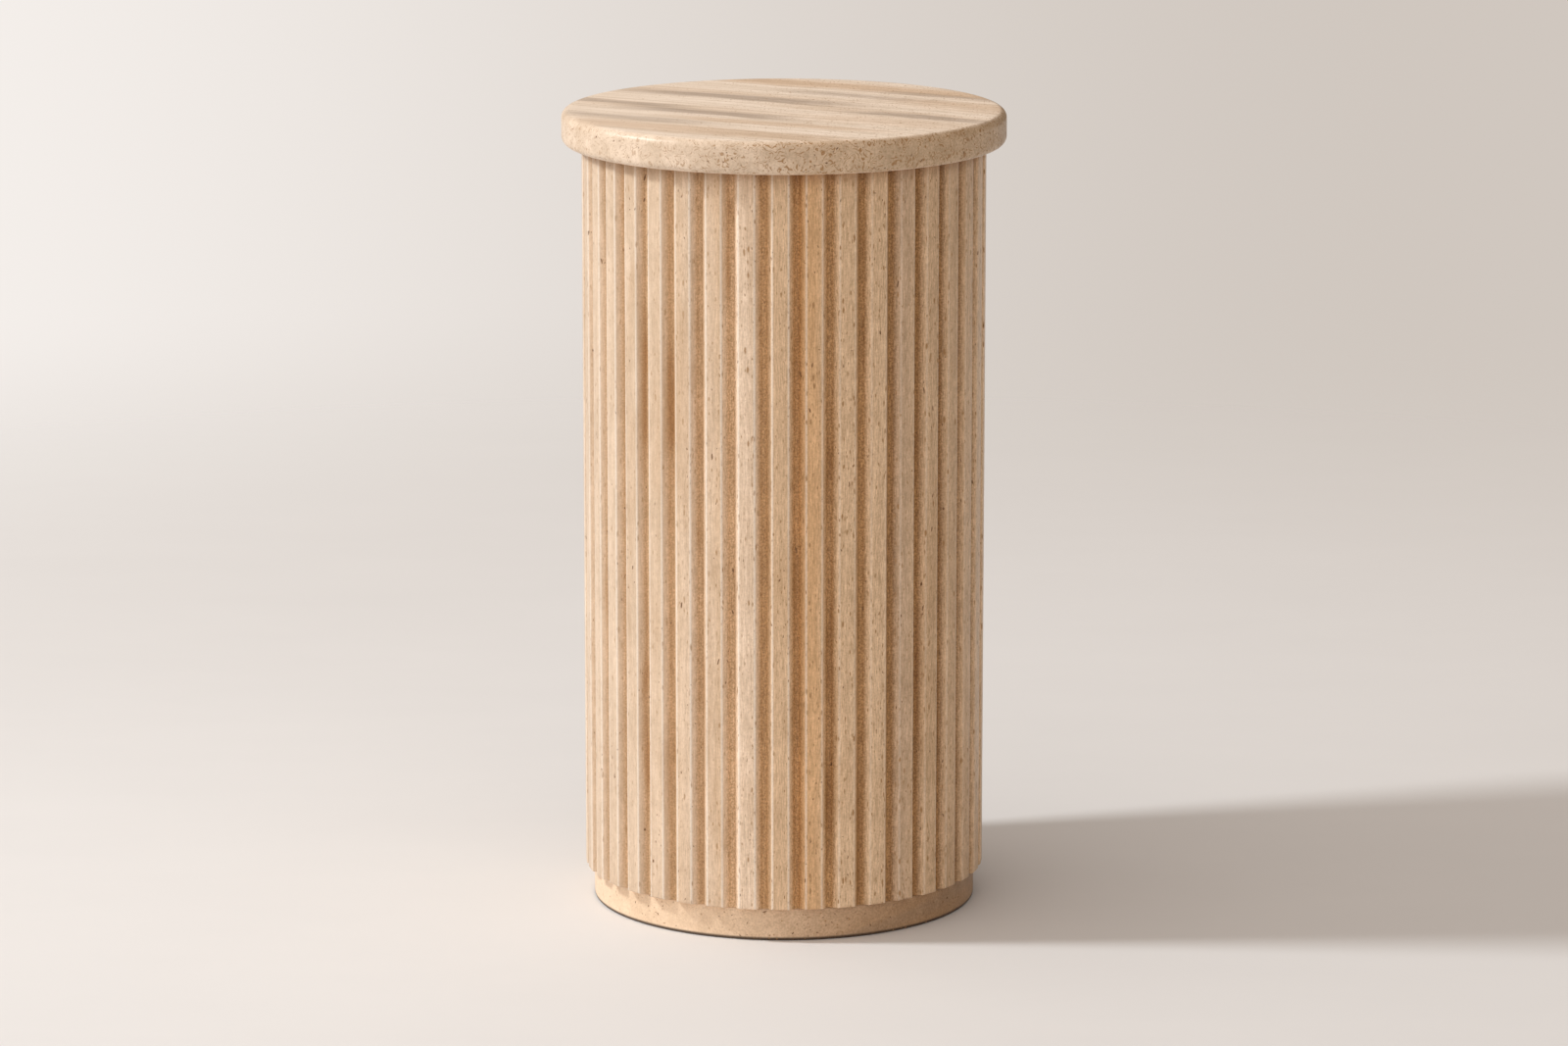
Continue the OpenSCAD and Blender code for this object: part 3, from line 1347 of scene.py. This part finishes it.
    def shape(self, graph: Graph, get: Sockets) -> Socket:
        """Adds the nodes that draw the outline upwards and round the ribs' lower ends.

        Args:
            graph: the drum's tree.
            get: the tree's named inputs.

        Returns:
            The closed mesh.
        """
        post = graph.node("GeometryNodeCurvePrimitiveLine", {
            "Start": graph.join(0.0, 0.0, get["Bottom"]), "End": graph.join(0.0, 0.0, get["Top"])})
        stepped = graph.node("GeometryNodeResampleCurve", {"Curve": post.outputs[0], "Count": self.rings},
                             mode="COUNT")
        spaced = graph.node("GeometryNodeSetPosition", {
            "Geometry": stepped.outputs[0], "Position": graph.join(0.0, 0.0, self.ring_height(graph, get))})
        drum = graph.node("GeometryNodeCurveToMesh", {
            "Curve": spaced.outputs[0], "Profile Curve": self.section(graph, get), "Fill Caps": True})
        place = graph.node("GeometryNodeInputPosition").outputs[0]
        x, y, z = graph.split(place)
        out = graph.from_axis(place)
        reach = graph.math("MINIMUM", out, self.foot_limit(graph, get, z))
        shrink = graph.over(reach, graph.math("MAXIMUM", out, self.least_radius))
        eased = graph.join(graph.times(x, shrink), graph.times(y, shrink), z)
        footed = graph.node("GeometryNodeSetPosition", {"Geometry": drum.outputs[0], "Position": eased})
        return footed.outputs[0]

    def crowding(self, graph: Graph) -> Socket:
        """Crowds the pores in upright patches on the drum's sides.

        Args:
            graph: the drum's tree.

        Returns:
            The field from 0 to 1.
        """
        _, side = self.up_and_side(graph)
        place = graph.node("GeometryNodeInputPosition").outputs[0]
        drawn = graph.vector("MULTIPLY", place, self.patches_per_metre)
        patches = graph.ease(graph.noise(drawn, 1.0, detail=3.0, rough=0.6), *self.patch_span,
                             self.between_patches, 1.0)
        return graph.times(patches, side)


# ---------------------------------------------------------------------------------------------
# Studio
# ---------------------------------------------------------------------------------------------


@dataclass
class Studio:
    """A pale floor that fades into the backdrop, one lamp at the left, soft fill and a camera."""

    camera_distance: float = 5.627
    camera_height: float = 1.546
    camera_azimuth: float = 1.0
    camera_pitch: float = 12.05
    lens: float = 145.15
    sensor: float = 36.0
    lamp_place: Triple = (-1.35, -0.19, 1.5)
    lamp_radius: float = 0.1
    lamp_strength: float = 0.56
    lamp_colour: Colour = (0.98, 1.0, 1.0)
    fill_colour: Colour = (1.0, 0.884, 0.785)
    fill_all_round: float = 0.17
    fill_in_front: float = 0.8
    fill_azimuth: float = -50.0
    fill_elevation: float = 45.0
    fill_span: tuple[float, float] = (-0.3, 1.0)
    floor_colour: Colour = (0.75, 0.745, 0.75)
    backdrop: Colour = (0.63, 0.571, 0.521)
    # The backdrop's left colour is painted light, lighter on the lamp's side.
    backdrop_lit_left: Colour = (0.93, 0.885, 0.85)
    far_floor: Colour = (0.66, 0.605, 0.56)
    backdrop_span: tuple[float, float] = (-0.09, 0.19)
    floor_radius: float = 9.0
    floor_sides: int = 96
    floor_mottle: float = 0.05
    floor_clouds_per_metre: Triple = (3.0, 6.0, 3.0)
    floor_roughness: float = 0.85
    fade_from: float = 1.0
    fade_to: float = 3.2

    def stand_camera(self) -> None:
        """Puts the camera in front of the pedestal, a little above its top."""
        data = bpy.data.cameras.new("camera")
        data.sensor_width = self.sensor
        data.lens = self.lens
        camera = bpy.data.objects.new("camera", data)
        turn = math.radians(self.camera_azimuth)
        camera.location = (self.camera_distance * math.sin(turn), -self.camera_distance * math.cos(turn),
                           self.camera_height)
        camera.rotation_euler = (math.radians(90.0 - self.camera_pitch), 0.0, turn)
        bpy.context.scene.collection.objects.link(camera)
        bpy.context.scene.camera = camera

    def hang_lamp(self) -> None:
        """Hangs the lamp, whose light doesn't weaken with distance, so that top and foot match."""
        data = bpy.data.lights.new("lamp", "POINT")
        data.shadow_soft_size = self.lamp_radius
        data.color = self.lamp_colour
        data.energy = self.lamp_strength * 4.0 * math.pi ** 2
        data.use_nodes = True
        data.node_tree.nodes.clear()
        graph = Graph(data.node_tree)
        even = graph.node("ShaderNodeLightFalloff", {"Strength": 1.0}).outputs["Constant"]
        shine = graph.node("ShaderNodeEmission", {"Strength": even})
        graph.feed(graph.node("ShaderNodeOutputLight").inputs["Surface"], shine.outputs[0])
        lamp = bpy.data.objects.new("lamp", data)
        lamp.location = self.lamp_place
        bpy.context.scene.collection.objects.link(lamp)

    def light_world(self) -> None:
        """Fills the shadows softly, more from in front, and shows the camera a backdrop with painted light,
        lighter towards the left.
        """
        world = bpy.data.worlds.new("studio")
        bpy.context.scene.world = world
        world.use_nodes = True
        world.node_tree.nodes.clear()
        graph = Graph(world.node_tree)
        way = graph.node("ShaderNodeTexCoord").outputs["Generated"]
        turn = math.radians(self.fill_azimuth)
        lift = math.radians(self.fill_elevation)
        front = (math.sin(turn) * math.cos(lift), -math.cos(turn) * math.cos(lift), math.sin(lift))
        facing = graph.node("ShaderNodeVectorMath", {0: way, 1: front}, operation="DOT_PRODUCT")
        strength = graph.ease(facing.outputs["Value"], *self.fill_span, self.fill_all_round,
                              self.fill_all_round + self.fill_in_front)
        fill = graph.node("ShaderNodeBackground", {"Color": self.fill_colour, "Strength": strength})
        leftward, _, _ = graph.split(graph.scaled(way, -1.0))
        # Painted light on the backdrop: lighter towards the left, the lamp's side.
        tone = graph.blend(graph.ease(leftward, *self.backdrop_span), self.backdrop, self.backdrop_lit_left)
        seen = graph.node("ShaderNodeBackground", {"Color": tone})
        path = graph.node("ShaderNodeLightPath").outputs
        direct = graph.math("MAXIMUM", path["Is Camera Ray"], path["Is Transmission Ray"])
        mixed = graph.node("ShaderNodeMixShader", {0: direct, 1: fill.outputs[0], 2: seen.outputs[0]})
        graph.feed(graph.node("ShaderNodeOutputWorld").inputs["Surface"], mixed.outputs[0])

    def lay_floor(self) -> None:
        """Lays the round floor and fades its colour into the backdrop's."""
        material, graph = empty_material("pale_floor")
        place = graph.node("ShaderNodeTexCoord").outputs["Object"]
        drawn = graph.vector("MULTIPLY", place, self.floor_clouds_per_metre)
        cloudy = graph.noise(drawn, 1.0, detail=4.0, rough=0.6)
        colour = graph.scaled(self.floor_colour, graph.swing(cloudy, self.floor_mottle))
        near = graph.node("ShaderNodeBsdfPrincipled",
                          {"Base Color": colour, "Roughness": self.floor_roughness})
        glow = graph.node("ShaderNodeEmission", {"Color": self.far_floor})
        clear = graph.node("ShaderNodeBsdfTransparent")
        seen = graph.node("ShaderNodeLightPath").outputs["Is Camera Ray"]
        far = graph.node("ShaderNodeMixShader", {0: seen, 1: glow.outputs[0], 2: clear.outputs[0]})
        away = graph.ease(graph.length(place), self.fade_from, self.fade_to)
        mixed = graph.node("ShaderNodeMixShader", {0: away, 1: near.outputs[0], 2: far.outputs[0]})
        graph.feed(graph.node("ShaderNodeOutputMaterial").inputs["Surface"], mixed.outputs[0])
        turns = [math.tau * step / self.floor_sides for step in range(self.floor_sides)]
        reach = self.floor_radius
        rim = [(reach * math.cos(turn), reach * math.sin(turn), 0.0) for turn in turns]
        mesh = bpy.data.meshes.new("floor")
        mesh.from_pydata(rim, [], [list(range(self.floor_sides))])
        mesh.materials.append(material)
        floor = bpy.data.objects.new("floor", mesh)
        bpy.context.scene.collection.objects.link(floor)

    def build(self) -> None:
        """Sets up the camera, the lights, the floor and the view transform."""
        self.stand_camera()
        self.hang_lamp()
        self.light_world()
        self.lay_floor()
        bpy.context.scene.view_settings.view_transform = "Standard"


# ---------------------------------------------------------------------------------------------
# The pedestal
# ---------------------------------------------------------------------------------------------


CREAM: Colour = (0.93, 0.785, 0.645)
GREY_BROWN: Colour = (0.47, 0.37, 0.29)
ORANGE_TAN: Colour = (0.70, 0.50, 0.335)

SLAB_FINISH = SlabFinish(
    name="slab_travertine",
    bedding=Bedding.SLANTED_IN_PLAN,
    body=CREAM,
    beds=(
        Bed(ORANGE_TAN, 0.152, 0.024, 0.80),
        Bed(GREY_BROWN, 0.134, 0.009, 0.60, 0.10, 0.08),
        Bed(GREY_BROWN, 0.100, 0.013, 0.55, 0.03, 0.09),
        Bed(ORANGE_TAN, 0.094, 0.018, 0.60, 0.14, 0.09),
        Bed(ORANGE_TAN, 0.054, 0.024, 0.35, -0.10, 0.16),
        Bed(GREY_BROWN, 0.042, 0.018, 0.85, -0.07, 0.12),
        Bed(ORANGE_TAN, 0.018, 0.018, 0.35, 0.08, 0.12),
        Bed(GREY_BROWN, 0.010, 0.012, 0.80, 0.13, 0.08),
        Bed(ORANGE_TAN, 0.068, 0.014, 0.35, 0.14, 0.07),
        Bed(ORANGE_TAN, -0.030, 0.028, 0.40, 0.12, 0.09),
        Bed(ORANGE_TAN, -0.040, 0.026, 0.30, -0.08, 0.14),
        Bed(GREY_BROWN, -0.032, 0.012, 0.75, -0.15, 0.07),
        Bed(GREY_BROWN, -0.054, 0.015, 0.85, -0.05, 0.09),
        Bed(ORANGE_TAN, -0.086, 0.012, 0.60, 0.04, 0.12),
        Bed(GREY_BROWN, -0.112, 0.014, 0.50, -0.10, 0.10),
        Bed(ORANGE_TAN, -0.150, 0.024, 0.65, 0.0, 0.20),
    ),
    wander=0.009,
    feather=0.014,
    streak_width=0.007,
    streak_length=0.16,
    streak_share=0.20,
    line_share=0.15,
    cloud_share=0.15,
    mottle_share=0.11,
    curl_share=0.75,
    curl_cover=0.85,
    speck_share=0.7,
    speck_size=0.0036,
    speck_cover=0.45,
    fine_cover=0.6,
    fine_size=0.0024,
    fine_share=0.4,
    roughness=0.56,
    bump=0.2,
)
SHAFT_FINISH = ShaftFinish(
    name="shaft_travertine",
    bedding=Bedding.UPRIGHT,
    body=(0.74, 0.52, 0.325),
    beds=(
        Bed((0.725, 0.560, 0.410), -0.160, 0.070),
        Bed((0.770, 0.600, 0.450), -0.090, 0.020, 0.8),
        Bed((0.870, 0.680, 0.510), -0.054, 0.017),
        Bed((0.710, 0.440, 0.225), 0.006, 0.014),
        Bed((0.575, 0.400, 0.260), 0.092, 0.012, 0.9),
        Bed((0.645, 0.440, 0.265), 0.140, 0.042),
    ),
    wander=0.005,
    feather=0.003,
    streak_width=0.0035,
    streak_length=0.09,
    streak_share=0.17,
    line_share=0.34,
    cloud_size=0.02,
    cloud_share=0.20,
    mottle_share=0.20,
    curl_cover=0.35,
    curl_share=0.3,
    speck_size=0.0032,
    speck_stretch=3.2,
    speck_cover=0.50,
    speck_share=0.72,
    fine_size=0.0026,
    fine_cover=0.9,
    fine_share=0.50,
    roughness=0.36,
    bump=0.2,
)
PLINTH_FINISH = PlinthFinish(
    name="plinth_travertine",
    bedding=Bedding.LEVEL,
    body=(0.93, 0.69, 0.455),
    beds=(Bed((0.78, 0.63, 0.48), 0.012, 0.008, 0.5),),
    cloud_size=0.016,
    cloud_share=0.09,
    mottle_share=0.08,
    curl_share=0.25,
    speck_size=0.0036,
    speck_cover=0.40,
    fine_cover=0.8,
    fine_size=0.0022,
    fine_share=0.28,
    roughness=0.4,
    bump=0.2,
)

SLAB_PORES = (
    Pores(9000.0, 0.0036, (0.5 * MM, 0.35 * MM, 0.5 * MM), (1.0 * MM, 0.7 * MM, 1.5 * MM), math.pi, 1, 11),
    Pores(900.0, 0.009, (0.8 * MM, 0.6 * MM, 1.0 * MM), (1.5 * MM, 1.0 * MM, 2.4 * MM), math.pi, 2, 12),
)
SHAFT_PORES = (
    Pores(3400.0, 0.0046, (0.5 * MM, 0.35 * MM, 0.6 * MM), (1.0 * MM, 0.65 * MM, 2.0 * MM), 0.4, 1, 21),
    Pores(420.0, 0.012, (0.8 * MM, 0.55 * MM, 1.4 * MM), (1.4 * MM, 0.95 * MM, 3.6 * MM), 0.3, 2, 22),
)
PLINTH_PORES = (
    Pores(8000.0, 0.0038, (0.5 * MM, 0.35 * MM, 0.5 * MM), (1.0 * MM, 0.7 * MM, 1.6 * MM), math.pi, 1, 31),
    Pores(900.0, 0.009, (0.8 * MM, 0.6 * MM, 1.0 * MM), (1.5 * MM, 1.0 * MM, 2.6 * MM), math.pi, 2, 32),
)


def main() -> None:
    """Builds the studio and the three stones in order."""
    logging.basicConfig(level=logging.INFO, format="%(message)s")
    Studio().build()
    shop = Workshop()
    stones = (
        BasePlinth("base_plinth", "plinth_stone", PLINTH_FINISH, PLINTH_PORES),
        FlutedShaft("fluted_shaft", "shaft_stone", SHAFT_FINISH, SHAFT_PORES),
        TopSlab("top_slab", "slab_stone", SLAB_FINISH, SLAB_PORES),
    )
    for stone in stones:
        stone.build(shop)


if __name__ == "__main__":
    main()
